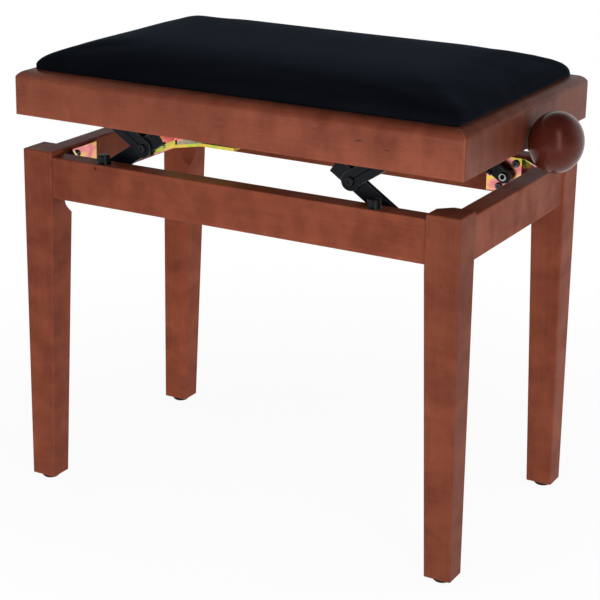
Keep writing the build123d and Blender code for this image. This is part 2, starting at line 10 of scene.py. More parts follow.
import bmesh
import bpy
from mathutils import Matrix, Vector


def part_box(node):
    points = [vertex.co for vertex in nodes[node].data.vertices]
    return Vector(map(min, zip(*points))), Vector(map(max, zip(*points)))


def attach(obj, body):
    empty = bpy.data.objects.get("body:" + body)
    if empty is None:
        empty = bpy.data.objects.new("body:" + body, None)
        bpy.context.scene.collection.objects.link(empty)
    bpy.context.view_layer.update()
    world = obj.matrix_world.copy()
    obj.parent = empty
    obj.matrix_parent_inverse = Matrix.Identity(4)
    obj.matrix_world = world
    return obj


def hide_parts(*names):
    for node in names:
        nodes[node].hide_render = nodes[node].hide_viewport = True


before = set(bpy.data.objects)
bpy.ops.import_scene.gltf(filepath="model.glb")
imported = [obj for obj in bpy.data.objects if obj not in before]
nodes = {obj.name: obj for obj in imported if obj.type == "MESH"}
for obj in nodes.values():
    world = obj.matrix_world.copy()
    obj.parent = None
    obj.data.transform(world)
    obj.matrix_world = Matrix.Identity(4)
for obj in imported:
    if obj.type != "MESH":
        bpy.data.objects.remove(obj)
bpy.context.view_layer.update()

MM = 0.001
seat_low, seat_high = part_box("seat_board")
bench_x = (seat_low.x + seat_high.x) / 2
print("middle of the seat at x", round(bench_x, 4))

# %% [markdown]
# Colours are easiest to judge as they look on a screen, while shaders reckon in linear light.
# One small function turns the first into the second, so every colour below can be read by eye.

# %% Colours
def screen(red, green, blue):
    """A screen colour, 0 to 255, as linear light."""
    def linear(value):
        share = value / 255
        return share / 12.92 if share <= 0.04045 else ((share + 0.055) / 1.055) ** 2.4
    return (linear(red), linear(green), linear(blue), 1.0)


print("mid grey in linear light", [round(part, 3) for part in screen(128, 128, 128)[:3]])

# %% [markdown]
# A shader is a small network of nodes. Placing and joining them one by one takes many lines, so a few
# helpers do it: each makes one node, feeds its sockets with links or plain numbers, and returns its output.

# %% Node helpers
def add(tree, kind, **settings):
    """A node of one kind with some of its settings."""
    made = tree.nodes.new(kind)
    for name, value in settings.items():
        setattr(made, name, value)
    return made


def feed(tree, socket, value):
    """Link a socket, or write a plain value into it."""
    if isinstance(value, bpy.types.NodeSocket):
        tree.links.new(value, socket)
    else:
        socket.default_value = value


def maths(tree, operation, first, second=0.0, clamp=False):
    made = add(tree, "ShaderNodeMath", operation=operation, use_clamp=clamp)
    feed(tree, made.inputs[0], first)
    feed(tree, made.inputs[1], second)
    return made.outputs[0]


def vector_maths(tree, operation, first, second=(0, 0, 0)):
    made = add(tree, "ShaderNodeVectorMath", operation=operation)
    feed(tree, made.inputs[0], first)
    feed(tree, made.inputs[1], second)
    return made.outputs["Value" if operation in ("LENGTH", "DOT_PRODUCT") else "Vector"]


def noise(tree, vector, scale, detail, roughness=0.5, distortion=0.0):
    made = add(tree, "ShaderNodeTexNoise")
    feed(tree, made.inputs["Vector"], vector)
    made.inputs["Scale"].default_value = scale
    made.inputs["Detail"].default_value = detail
    made.inputs["Roughness"].default_value = roughness
    made.inputs["Distortion"].default_value = distortion
    return made.outputs["Fac"]


def stretched_noise(tree, vector, scale, detail, roughness=0.5, distortion=0.0):
    """Noise with its own scale along each axis."""
    return noise(tree, vector_maths(tree, "MULTIPLY", vector, scale), 1.0, detail, roughness, distortion)


def spread(tree, value, low, high, new_low=0.0, new_high=1.0):
    """Stretch a range of values onto another, held at both ends."""
    made = add(tree, "ShaderNodeMapRange", clamp=True)
    feed(tree, made.inputs["Value"], value)
    for name, number in (("From Min", low), ("From Max", high), ("To Min", new_low), ("To Max", new_high)):
        made.inputs[name].default_value = number
    return made.outputs["Result"]


def mix_colour(tree, share, first, second):
    made = add(tree, "ShaderNodeMix", data_type="RGBA")
    feed(tree, made.inputs["Factor"], share)
    feed(tree, made.inputs["A"], first)
    feed(tree, made.inputs["B"], second)
    return made.outputs["Result"]


def object_place(tree):
    return add(tree, "ShaderNodeTexCoord").outputs["Object"]


def start_group(name, inputs, outputs):
    """An empty node group with its named sockets."""
    group = bpy.data.node_groups.new(name, "ShaderNodeTree")
    for label, kind, value in inputs:
        socket = group.interface.new_socket(label, in_out="INPUT", socket_type=kind)
        if value is not None:
            socket.default_value = value
    for label, kind in outputs:
        group.interface.new_socket(label, in_out="OUTPUT", socket_type=kind)
    return group, group.nodes.new("NodeGroupInput").outputs, group.nodes.new("NodeGroupOutput").inputs


COLOUR, NUMBER, VECTOR = "NodeSocketColor", "NodeSocketFloat", "NodeSocketVector"
print("helpers ready")

# %% [markdown]
# ## Shared effects
# Stained beech has three scales of pattern: soft cloudy bands across the board where the stain took
# differently, fine streaks along the grain, and short dark pores. A photograph could give all that, but it
# would be tied to one board. Noise stretched along the grain suits any board, so it is one group whose
# input is a place in the board, with the grain along its X axis.

# %% Grain under stain
BAND_SHARE, DRIFT_SHARE, STREAK_SHARE = 0.46, 0.32, 0.22


def make_grain():
    group, given, out = start_group(
        "stained_grain",
        [("Place", VECTOR, None), ("Pale", COLOUR, None), ("Deep", COLOUR, None), ("Pore", COLOUR, None)],
        [("Color", COLOUR), ("Roughness", NUMBER), ("Height", NUMBER)],
    )
    place = given["Place"]
    bands = stretched_noise(group, place, (36, 24, 24), 3.0, 0.55)
    drift = stretched_noise(group, place, (3.5, 16, 16), 2.0)
    streaks = stretched_noise(group, place, (16, 460, 460), 4.0, 0.6, 0.3)
    tone = maths(group, "MULTIPLY", spread(group, bands, 0.34, 0.66), BAND_SHARE)
    for layer, low, high, share in ((drift, 0.34, 0.66, DRIFT_SHARE), (streaks, 0.3, 0.7, STREAK_SHARE)):
        added = maths(group, "MULTIPLY", spread(group, layer, low, high), share)
        tone = maths(group, "ADD", tone, added)
    wood = mix_colour(group, tone, given["Deep"], given["Pale"])
    pores = spread(group, stretched_noise(group, place, (110, 1500, 1500), 1.0), 0.66, 0.74)
    patches = spread(group, stretched_noise(group, place, (18, 40, 40), 1.0), 0.5, 0.64)
    flecks = maths(group, "MULTIPLY", pores, patches)
    fleck_share = maths(group, "MULTIPLY", flecks, 0.5)
    group.links.new(mix_colour(group, fleck_share, wood, given["Pore"]), out["Color"])
    group.links.new(spread(group, bands, 0.3, 0.7, 0.54, 0.46), out["Roughness"])
    height = maths(group, "SUBTRACT", maths(group, "MULTIPLY", streaks, 0.5), flecks)
    group.links.new(height, out["Height"])
    return group


grain_group = make_grain()
print("group", grain_group.name, len(grain_group.nodes), "nodes")

# %% [markdown]
# Where two faces meet, sanding and handling leave stain and paint thinner, and a rounded edge catches the
# light. The paler colour given to the edges is partly that wear and partly a painted highlight. The Bevel
# node looks a little way round a point for a turn in the surface, so comparing its normal with the true one
# finds the edges of any piece without marking them by hand. Noise breaks the line up.

# %% Rubbed edges and painted highlights
def make_worn_and_highlit_edges():
    group, given, out = start_group(
        "worn_and_highlit_edges",
        [
            ("Color", COLOUR, None), ("Rubbed", COLOUR, None),
            ("Strength", NUMBER, 0.5), ("Width", NUMBER, 0.002),
        ],
        [("Color", COLOUR)],
    )
    rounded = add(group, "ShaderNodeBevel", samples=4)
    group.links.new(given["Width"], rounded.inputs["Radius"])
    geometry = add(group, "ShaderNodeNewGeometry")
    facing = vector_maths(group, "DOT_PRODUCT", rounded.outputs[0], geometry.outputs["Normal"])
    broken = spread(group, noise(group, geometry.outputs["Position"], 60.0, 3.0), 0.3, 0.65, 0.35, 1.0)
    mask = maths(group, "MULTIPLY", spread(group, facing, 0.995, 0.82), broken)
    share = maths(group, "MULTIPLY", mask, given["Strength"], clamp=True)
    group.links.new(mix_colour(group, share, given["Color"], given["Rubbed"]), out["Color"])
    return group


edge_group = make_worn_and_highlit_edges()
print("group", edge_group.name, len(edge_group.nodes), "nodes")

# %% [markdown]
# No finish is equally smooth all over. A haze of fingerprints and fine rubbing changes the gloss by a
# little from place to place, on lacquer, paint and plating alike, so it is a group with the gloss as input.

# %% Handling haze
def make_haze():
    group, given, out = start_group(
        "handling_haze",
        [("Roughness", NUMBER, 0.4), ("Amount", NUMBER, 0.1)],
        [("Roughness", NUMBER), ("Speckle", NUMBER), ("Clouds", NUMBER)],
    )
    place = object_place(group)
    clouds = spread(group, noise(group, place, 38.0, 4.0, 0.6), 0.3, 0.7)
    change = maths(group, "MULTIPLY", maths(group, "SUBTRACT", clouds, 0.5), given["Amount"])
    group.links.new(maths(group, "ADD", given["Roughness"], change, clamp=True), out["Roughness"])
    group.links.new(noise(group, place, 1400.0, 2.0, 0.6), out["Speckle"])
    group.links.new(clouds, out["Clouds"])
    return group


haze_group = make_haze()
print("group", haze_group.name, len(haze_group.nodes), "nodes")

# %% [markdown]
# ## Finishes
# Each finish is a short function that starts a material, places the groups it needs and sets the plain
# numbers on the shader itself.

# %% Material helpers
def start_material(name):
    material = bpy.data.materials.new(name)
    material.use_nodes = True
    return material, material.node_tree, material.node_tree.nodes["Principled BSDF"]


def place_group(tree, group, **values):
    made = add(tree, "ShaderNodeGroup", node_tree=group)
    for name, value in values.items():
        feed(tree, made.inputs[name], value)
    return made.outputs


def bump(tree, shader, height, distance, strength=1.0):
    made = add(tree, "ShaderNodeBump")
    made.inputs["Distance"].default_value = distance
    made.inputs["Strength"].default_value = strength
    feed(tree, made.inputs["Height"], height)
    tree.links.new(made.outputs["Normal"], shader.inputs["Normal"])


def dress(name, material):
    """Give a piece of the frame one material."""
    mesh = nodes[name].data
    mesh.materials.clear()
    mesh.materials.append(material)


print("material helpers ready")

# %% [markdown]
# Every board is cut from its own plank and lies along its own direction. The material turns and moves the
# place in the board before it reaches the grain, so that legs have upright grain, the long boards grain
# along the bench and no two boards the same figure. A board may also have marks of its own, such as a knot:
# a dark spot at a place, drawn out along the grain.

# %% Stained boards
GRAIN_TURN = {"X": (0, 0, 0), "Y": (0, 0, math.radians(-90)), "Z": (0, math.radians(90), 0)}
STAIN_PALE = screen(160, 86, 61)
STAIN_DEEP = screen(112, 53, 37)
STAIN_PORE = screen(52, 22, 15)
# A paler colour for the edges: partly wear, partly a painted highlight.
STAIN_EDGE_WEAR_AND_HIGHLIGHT = screen(186, 106, 72)
RAIL_GLOSS, BASE_GLOSS = 0.2, 0.09
PLANK_STEP = (0.37, 0.61, 0.23)


def dark_marks(tree, colour, marks):
    """Darken a colour at each mark: its middle, then how far it reaches along each axis."""
    for middle, reach in marks:
        away = vector_maths(tree, "SUBTRACT", object_place(tree), middle)
        inside = vector_maths(tree, "DIVIDE", away, reach)
        mask = spread(tree, vector_maths(tree, "LENGTH", inside), 0.55, 1.0, 0.8, 0.0)
        colour = mix_colour(tree, mask, colour, STAIN_PORE)
    return colour


def toned(colour, tone):
    """A colour made darker by a tone under 1, or paler by one over it."""
    return tuple(part * tone for part in colour[:3]) + (1.0,)


def stained_board(name, along, seed, marks=(), pale=STAIN_PALE, deep=STAIN_DEEP, gloss=BASE_GLOSS):
    material, tree, shader = start_material(name)
    turned_place = add(tree, "ShaderNodeMapping")
    turned_place.inputs["Rotation"].default_value = GRAIN_TURN[along]
    turned_place.inputs["Location"].default_value = [step * seed for step in PLANK_STEP]
    tree.links.new(object_place(tree), turned_place.inputs["Vector"])
    board_place = turned_place.outputs[0]
    grain = place_group(tree, grain_group, Place=board_place, Pale=pale, Deep=deep, Pore=STAIN_PORE)
    wood = dark_marks(tree, grain["Color"], marks)
    # Paler edges: partly sanding wear, partly a painted highlight.
    edges = place_group(tree, edge_group, Color=wood, Rubbed=STAIN_EDGE_WEAR_AND_HIGHLIGHT, Strength=0.4, Width=0.0022)
    haze = place_group(tree, haze_group, Roughness=grain["Roughness"], Amount=0.1)
    tree.links.new(edges["Color"], shader.inputs["Base Color"])
    tree.links.new(haze["Roughness"], shader.inputs["Roughness"])
    shader.inputs["Specular IOR Level"].default_value = gloss
    bump(tree, shader, grain["Height"], 0.00012, 0.5)
    return material


apron_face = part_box("front_apron")[0].y
rail_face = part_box("front_rail")[0].y
MARKS = {
    "front_apron": [((bench_x - 173 * MM, apron_face, 395.3 * MM), (2.6 * MM, 4 * MM, 2.2 * MM))],
    "front_rail": [
        ((bench_x + 158.5 * MM, rail_face, 473 * MM), (5 * MM, 4 * MM, 0.8 * MM)),
        ((bench_x + 190.6 * MM, rail_face, 467 * MM), (4 * MM, 4 * MM, 0.7 * MM)),
    ],
}
# Some of these tones are painted shade: the right rail is darkened for the shadow and dark reflection of the
# knob, and the right legs partly for the shade at their tops. The rest are boards that took the stain
# differently.
BOARD_TONES_AND_SHADE = {
    "front_left_leg": 0.85, "front_right_leg": 0.65, "rear_right_leg": 0.84, "rear_left_leg": 1.25,
    "right_rail": 0.66, "front_apron": 0.89,
}
boards = [(f"{side}_{kind}", "X") for side in ("front", "rear") for kind in ("rail", "apron")]
boards += [(f"{end}_{kind}", "Y") for end in ("left", "right") for kind in ("rail", "apron")]
boards += [(f"{side}_{end}_leg", "Z") for side in ("front", "rear") for end in ("left", "right")]
for seed, (board, along) in enumerate(boards, 1):
    tone = BOARD_TONES_AND_SHADE.get(board, 1.0)
    pale, deep = toned(STAIN_PALE, tone), toned(STAIN_DEEP, tone)
    gloss = RAIL_GLOSS if board.endswith("_rail") else BASE_GLOSS
    dress(board, stained_board(f"stained_{board}", along, seed, MARKS.get(board, ()), pale, deep, gloss))
print(len(boards), "stained boards")

# %% [markdown]
# The knob is turned from the same wood, stained darker and lacquered to a gloss. Its grain runs along the
# spindle. The board under the pad is plain plywood in a dull dark brown that is painted shade: it stands in
# the shade under the seat, and the metal and apron tops below show it in their reflections.

# %% Knob wood and plywood
KNOB_SEED, PLYWOOD_SEED = 17, 23


def lacquered_knob():
    material = stained_board("lacquered_knob", "X", KNOB_SEED, (), screen(92, 39, 29), screen(68, 26, 19))
    tree = material.node_tree
    shader = tree.nodes["Principled BSDF"]
    for socket in ("Roughness", "Normal"):
        tree.links.remove(shader.inputs[socket].links[0])
    haze = place_group(tree, haze_group, Roughness=0.25, Amount=0.06)
    tree.links.new(haze["Roughness"], shader.inputs["Roughness"])
    shader.inputs["Specular IOR Level"].default_value = 0.3
    shader.inputs["Specular Tint"].default_value = screen(255, 190, 180)
    return material


dress("knob", lacquered_knob())
# The plywood's dark brown is painted shade, for the shade under the seat and its reflections below.
dress("seat_board", stained_board("plywood", "X", PLYWOOD_SEED, (), screen(78, 48, 32), screen(54, 32, 21)))
print("knob and board dressed")

# %% [markdown]
# Yellow zinc plating is a film so thin that it shows rainbow bands. A colour ramp over a slow noise gives
# pink, straw and green patches that run into each other, and full Metallic makes them reflect. Each sheet
# came out of the bath a little different: the brackets are mostly pink, the cross plates straw and green.

# %% Zinc plating
ZINC_PATCHES = (44, 36, 52)
ZINC_BANDS = [
    (0.0, screen(226, 116, 130)),
    (0.34, screen(244, 160, 152)),
    (0.5, screen(248, 206, 92)),
    (0.66, screen(186, 208, 84)),
    (0.82, screen(238, 196, 84)),
    (1.0, screen(228, 138, 140)),
]


def zinc_plated(name, first, last, tone):
    """Plating whose bands run over one part of the ramp, made darker by the tone."""
    material, tree, shader = start_material(name)
    slow = stretched_noise(tree, object_place(tree), ZINC_PATCHES, 2.0, 0.5, 0.8)
    ramp = add(tree, "ShaderNodeValToRGB")
    bands = ramp.color_ramp.elements
    while len(bands) < len(ZINC_BANDS):
        bands.new(0.5)
    for band, (position, colour) in zip(bands, ZINC_BANDS):
        band.position = position
        band.color = toned(colour, tone)
    tree.links.new(spread(tree, slow, 0.32, 0.68, first, last), ramp.inputs["Fac"])
    haze = place_group(tree, haze_group, Roughness=0.28, Amount=0.16)
    tree.links.new(ramp.outputs["Color"], shader.inputs["Base Color"])
    tree.links.new(haze["Roughness"], shader.inputs["Roughness"])
    shader.inputs["Metallic"].default_value = 1.0
    bump(tree, shader, haze["Speckle"], 0.00004, 0.4)
    return material


pink_zinc = zinc_plated("pink_zinc", 0.04, 0.68, 1.0)
straw_zinc = zinc_plated("straw_zinc", 0.44, 0.86, 0.78)
brackets = [name for name in nodes if name.endswith(("_corner_bracket", "_hinge_bracket"))]
cross_plates = [name for name in nodes if name.endswith("_cross_plate")]
for name in brackets:
    dress(name, pink_zinc)
for name in cross_plates:
    dress(name, straw_zinc)
print(len(brackets), "brackets and", len(cross_plates), "cross plates plated")

# %% [markdown]
# The arms and links are pressed steel under black satin paint, whose orange-peel skin breaks up the
# reflections. Their edges get bright lines, partly paint rubbed through to the metal and partly a painted
# highlight.

# %% Painted steel and bare metal
def painted_steel():
    material, tree, shader = start_material("black_paint")
    haze = place_group(tree, haze_group, Roughness=0.42, Amount=0.2)
    mottle = maths(tree, "MULTIPLY", haze["Speckle"], haze["Clouds"])
    shade = mix_colour(tree, mottle, screen(6, 8, 13), screen(19, 25, 36))
    # Near-white edges on the paint: partly bare metal, partly a painted highlight.
    bare_metal_and_highlight = screen(182, 187, 194)
    edges = place_group(tree, edge_group, Color=shade, Rubbed=bare_metal_and_highlight, Strength=0.8, Width=0.0009)
    tree.links.new(edges["Color"], shader.inputs["Base Color"])
    tree.links.new(haze["Roughness"], shader.inputs["Roughness"])
    shader.inputs["Specular IOR Level"].default_value = 0.18
    bump(tree, shader, haze["Speckle"], 0.00008, 0.5)
    return material


def plain_metal(name, pale, dull, roughness):
    material, tree, shader = start_material(name)
    haze = place_group(tree, haze_group, Roughness=roughness, Amount=0.24)
    tree.links.new(mix_colour(tree, haze["Speckle"], dull, pale), shader.inputs["Base Color"])
    tree.links.new(haze["Roughness"], shader.inputs["Roughness"])
    shader.inputs["Metallic"].default_value = 1.0
    bump(tree, shader, haze["Speckle"], 0.00003, 0.4)
    return material


black_paint = painted_steel()
bright_steel = plain_metal("bright_steel", screen(198, 198, 200), screen(138, 139, 143), 0.3)
screw_steel = plain_metal("screw_steel", screen(122, 122, 126), screen(74, 74, 78), 0.34)
brass = plain_metal("brass", screen(214, 178, 100), screen(176, 138, 70), 0.34)
painted = [name for name in nodes if name.endswith(("_arm", "_link"))]
turned_steel = [name for name in nodes if name.endswith(("_link_pins", "_nut_block", "_cross_rods"))]
turned_steel += ["thrust_collar", "knob_washer"]
bushes = [name for name in nodes if name.endswith("_spindle_bush")]
for names, finish in ((painted, black_paint), (turned_steel, bright_steel), (bushes, brass)):
    for name in names:
        dress(name, finish)
print(len(painted), "painted pieces,", len(turned_steel), "of bright steel,", len(bushes), "of brass")

# %% [markdown]
# Rubber and moulded plastic are both plain and dark. What tells them from paint is the soft grey bloom of
# the rubber and the faint grain of the mould. The pivot bolts are blackened in oil and shine more.

# %% Rubber and plastic
def dull_black(name, dark, bloom, roughness, gloss, grain):
    material, tree, shader = start_material(name)
    haze = place_group(tree, haze_group, Roughness=roughness, Amount=0.16)
    clouds = spread(tree, noise(tree, object_place(tree), 160.0, 3.0), 0.35, 0.7)
    tree.links.new(mix_colour(tree, clouds, dark, bloom), shader.inputs["Base Color"])
    tree.links.new(haze["Roughness"], shader.inputs["Roughness"])
    shader.inputs["Specular IOR Level"].default_value = gloss
    bump(tree, shader, haze["Speckle"], grain, 0.6)
    return material


rubber = dull_black("moulded_rubber", screen(8, 9, 13), screen(15, 18, 24), 0.34, 0.18, 0.00003)
plastic = dull_black("glide_plastic", screen(20, 19, 19), screen(30, 29, 29), 0.5, 0.12, 0.00005)
oiled_steel = dull_black("oiled_steel", screen(8, 9, 12), screen(17, 19, 24), 0.22, 0.2, 0.00002)
black_pieces = {"_mid_bolts": oiled_steel, "_stop_bumper": rubber, "_foot_glide": plastic}
for name in nodes:
    for ending, finish in black_pieces.items():
        if name.endswith(ending):
            dress(name, finish)
print("rubber, plastic and oiled steel dressed")

# %% [markdown]
# A saw and a press leave no knife edges: the boards are eased with sandpaper and the sheet metal is tumbled.
# A bevel modifier rounds every sharp edge of the boards, brackets, arms and links by a fraction of a
# millimetre, so that each edge catches the light. The frame's own meshes are split where two faces meet, so a
# weld comes first.

# %% Ease the edges
WELD_REACH = 0.002 * MM
BOARD_EASE, SHEET_EASE = 0.5 * MM, 0.3 * MM
EASED_ANGLE = math.radians(40)


def ease(name, width):
    weld = nodes[name].modifiers.new("weld", "WELD")
    weld.merge_threshold = WELD_REACH
    eased = nodes[name].modifiers.new("eased", "BEVEL")
    eased.width = width
    eased.segments = 2
    eased.limit_method = "ANGLE"
    eased.angle_limit = EASED_ANGLE
    eased.harden_normals = True


for name, _ in boards:
    ease(name, BOARD_EASE)
for name in brackets + painted:
    ease(name, SHEET_EASE)
print("edges eased")

# %% [markdown]
# ## Turned pieces
# Screws, nuts, studs and the spindle are round forms along an axis. A lathe would cut them ring by ring,
# and so does one function here: each ring has a distance along the axis and a radius. Where the radius is
# itself a rule for each angle, the same rings give a hexagon, a cross-shaped recess or a winding thread.

# %% Rings along an axis
SEGMENTS = 48
CREASE_ANGLE = math.radians(35)


def turned(shape, start, ahead, rings, tube=False, dark_from=None):
    """Add a turned form, its rings in millimetres; those from dark_from on take the second material, such as
    the black of painted shade in a recess.
    """
    side = ahead.orthogonal().normalized()
    other = ahead.cross(side)
    loops = []
    for along, radius in rings:
        loop = []
        for step in range(SEGMENTS):
            angle = 2 * math.pi * step / SEGMENTS
            reach = radius(angle) if callable(radius) else radius
            spoke = side * math.cos(angle) + other * math.sin(angle)
            loop.append(shape.verts.new(start + (ahead * along + spoke * reach) * MM))
        loops.append(loop)
    pairs = list(zip(loops, loops[1:]))
    if tube:
        pairs.append((loops[-1], loops[0]))
    else:
        shape.faces.new(list(reversed(loops[0])))
        shape.faces.new(loops[-1]).material_index = 0 if dark_from is None else 1
    for number, (near, far) in enumerate(pairs):
        for step in range(SEGMENTS):
            after = (step + 1) % SEGMENTS
            face = shape.faces.new((near[step], near[after], far[after], far[step]))
            face.material_index = 1 if dark_from is not None and number >= dark_from else 0


def finish_turned(shape, name, body, replaced, materials):
    """Make a piece of the mesh, with smooth turns and crisp corners, that may stand for a node."""
    mesh = bpy.data.meshes.new(name)
    shape.to_mesh(mesh)
    shape.free()
    for material in materials:
        mesh.materials.append(material)
    mesh.shade_smooth()
    mesh.set_sharp_from_angle(angle=CREASE_ANGLE)
    piece = bpy.data.objects.new(name, mesh)
    bpy.context.scene.collection.objects.link(piece)
    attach(piece, body)
    if replaced:
        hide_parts(replaced)
    print(name, len(mesh.polygons), "faces")


# Screw recesses and rivet bores take a black material: painted shade for the dark inside a small hole.
painted_recess_shade = dull_black("painted_recess_shade", screen(12, 12, 13), screen(24, 24, 26), 0.6, 0.1, 0.00003)

# %% [markdown]
# The frame knows where each fastener is, so nothing is measured again. A node that groups many solids is
# taken apart into its islands of joined points, and each island tells its middle, its axis and which end is
# the head.

# %% Find the fasteners
def solids_of(name):
    """The points of each separate solid of a node."""
    shape = bmesh.new()
    shape.from_mesh(nodes[name].data)
    bmesh.ops.remove_doubles(shape, verts=shape.verts, dist=WELD_REACH)
    reached = set()
    solids = []
    for first in shape.verts:
        if first in reached:
            continue
        reached.add(first)
        island = [first]
        for vert in island:
            for edge in vert.link_edges:
                neighbour = edge.other_vert(vert)
                if neighbour not in reached:
                    reached.add(neighbour)
                    island.append(neighbour)
        solids.append([vert.co.copy() for vert in island])
    shape.free()
    return solids


def box_of(points):
    low = Vector([min(point[axis] for point in points) for axis in range(3)])
    high = Vector([max(point[axis] for point in points) for axis in range(3)])
    return low, high


def screw_line(points):
    """The tip of a screw and the way to its head, which is the end that holds its widest points."""
    low, high = box_of(points)
    axis = max(range(3), key=lambda number: high[number] - low[number])
    middle = (low + high) / 2
    across = [number for number in range(3) if number != axis]
    widest = max(points, key=lambda point: sum((point[number] - middle[number]) ** 2 for number in across))
    way = 1 if widest[axis] > middle[axis] else -1
    ahead = Vector([way if number == axis else 0 for number in range(3)])
    tip = middle.copy()
    tip[axis] = low[axis] if way > 0 else high[axis]
    return tip, ahead


print(len(solids_of("apron_screws")), "apron screws,", len(solids_of("hinge_screws")), "hinge screws")

# %% [markdown]
# The screws have low pan heads with a cross recess. The cross is the outline of two bars: at each angle it
# reaches as far as the longer of the two.

# %% Screws
def cross_outline(length, width):
    def reach(angle):
        across, up = max(abs(math.cos(angle)), 1e-6), max(abs(math.sin(angle)), 1e-6)
        return max(min(length / across, width / up), min(width / across, length / up))
    return reach


SCREW_RINGS = [
    (0, 0.3), (3.5, 1.95), (16, 1.95), (16, 4.5), (17.3, 4.5), (18.1, 4.1), (18.6, 3.4), (18.8, 2.8),
    (18.8, cross_outline(2.3, 0.6)), (17.3, cross_outline(1.7, 0.4)),
]
# From this ring on, the cross recess takes the painted shade.
RECESS_RING = 8
for screw_set, body in (("apron_screws", "base"), ("hinge_screws", "seat")):
    shape = bmesh.new()
    for points in solids_of(screw_set):
        turned(shape, *screw_line(points), SCREW_RINGS, dark_from=RECESS_RING)
    finish_turned(shape, "recessed_" + screw_set, body, screw_set, [screw_steel, painted_recess_shade])

# %% [markdown]
# Each leg is drawn to its corner bracket by a bolt at 45 degrees. A nut is a hexagon whose corners are
# turned off at both faces, so its outline there is the smaller of hexagon and circle. A thread is a circle
# whose radius dips in step with the angle and the distance, so that the dip winds along.

# %% Leg bolts and nuts
RINGS_PER_TURN = 8
NUT_FLATS, NUT_CORNER = 6.5, 7.0
BOLT_HALF = 24


def hexagon(flats, limit=math.inf):
    sixth = math.pi / 3
    return lambda angle: min(flats / math.cos((angle + sixth / 2) % sixth - sixth / 2), limit)


def thread_rings(first, last, radius, depth, pitch, hand=1):
    def dipping(phase):
        return lambda angle: radius - depth * (0.5 - 0.5 * math.cos(phase - hand * angle))

    steps = round((last - first) / pitch * RINGS_PER_TURN)
    rings = []
    for step in range(steps + 1):
        along = first + (last - first) * step / steps
        rings.append((along, dipping(2 * math.pi * along / pitch)))
    return rings


def toward_leg(middle):
    return Vector((math.copysign(1, middle.x - bench_x), math.copysign(1, middle.y), 0)).normalized()


def middle_of(points):
    low, high = box_of(points)
    return (low + high) / 2


NUT_RINGS = [
    (-3.25, 4.2), (-3.25, 6.1), (-2.7, hexagon(NUT_FLATS, NUT_CORNER)), (-2.2, hexagon(NUT_FLATS)),
    (2.2, hexagon(NUT_FLATS)), (2.7, hexagon(NUT_FLATS, NUT_CORNER)), (3.25, 6.1), (3.25, 4.2),
]
BOLT_RINGS = [(0, 3.1)] + thread_rings(0.6, 14.0, 4.0, 0.5, 1.25) + [(48, 4.0)]
bolts, nuts = bmesh.new(), bmesh.new()
for points in solids_of("leg_nuts"):
    turned(nuts, middle_of(points), toward_leg(middle_of(points)), NUT_RINGS, tube=True)
for points in solids_of("leg_bolts"):
    ahead = toward_leg(middle_of(points))
    turned(bolts, middle_of(points) - ahead * BOLT_HALF * MM, ahead, BOLT_RINGS)
finish_turned(nuts, "chamfered_leg_nuts", "base", "leg_nuts", [bright_steel])
finish_turned(bolts, "threaded_leg_bolts", "base", "leg_bolts", [bright_steel])

# %% [markdown]
# The arms turn on hollow rivets: a shoulder against the bracket, a pin, and a head whose rim is rolled over
# round an open bore. The left cross plate is held to its arms by one small solid rivet in each cheek.

# %% Rivets
STUD_RINGS = [
    (0, 6.5), (0.5, 7.0), (5.3, 7.0), (5.7, 6.6), (5.7, 3.0), (8.8, 3.0), (8.8, 4.8), (9.2, 5.0), (9.9, 5.0),
    (10.4, 4.7), (10.7, 4.2), (10.8, 3.6), (10.7, 3.0), (10.3, 2.6), (8.2, 2.4),
]
# From this ring on, the rivet's bore takes the painted shade.
BORE_RING = 13
studs = bmesh.new()
for points in solids_of("base_pivot_studs"):
    low, high = box_of(points)
    way = math.copysign(1, low.y)
    outer = high.y if way > 0 else low.y
    start = Vector(((low.x + high.x) / 2, outer, (low.z + high.z) / 2))
    turned(studs, start, Vector((0, -way, 0)), STUD_RINGS, dark_from=BORE_RING)
finish_turned(studs, "hollow_pivot_rivets", "base", "base_pivot_studs", [bright_steel, painted_recess_shade])

CHEEK_RIVET_RINGS = [(0, 2.0), (0.4, 2.0), (0.8, 1.7), (1.05, 1.2), (1.15, 0.6)]
CHEEK_RIVET_X, CHEEK_RIVET_Z = 104.4 * MM, 422.2 * MM
plate_low, plate_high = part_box("left_cross_plate")
rivets = bmesh.new()
for face_y in (plate_low.y, plate_high.y):
    start = Vector((bench_x - CHEEK_RIVET_X, face_y, CHEEK_RIVET_Z))
    turned(rivets, start, Vector((0, math.copysign(1, face_y), 0)), CHEEK_RIVET_RINGS)
finish_turned(rivets, "cheek_rivets", "left_arms", None, [bright_steel])

# %% [markdown]
# The spindle is threaded right-handed under one nut and left-handed under the other, which is why one knob
# draws both nuts together or drives them apart. The same rings make both threads, with the hand as the only
# change.

# %% Spindle
SPINDLE_RADIUS, SPINDLE_END, END_CHAMFER = 6.0, 5.2, 0.8
THREAD_NEAR, THREAD_FAR = 25, 130
THREAD_DEPTH, THREAD_PITCH = 0.9, 4.0


def plain(*places):
    return [(along, SPINDLE_RADIUS) for along in places]


def threaded(first, last, hand):
    return thread_rings(first, last, SPINDLE_RADIUS, THREAD_DEPTH, THREAD_PITCH, hand)


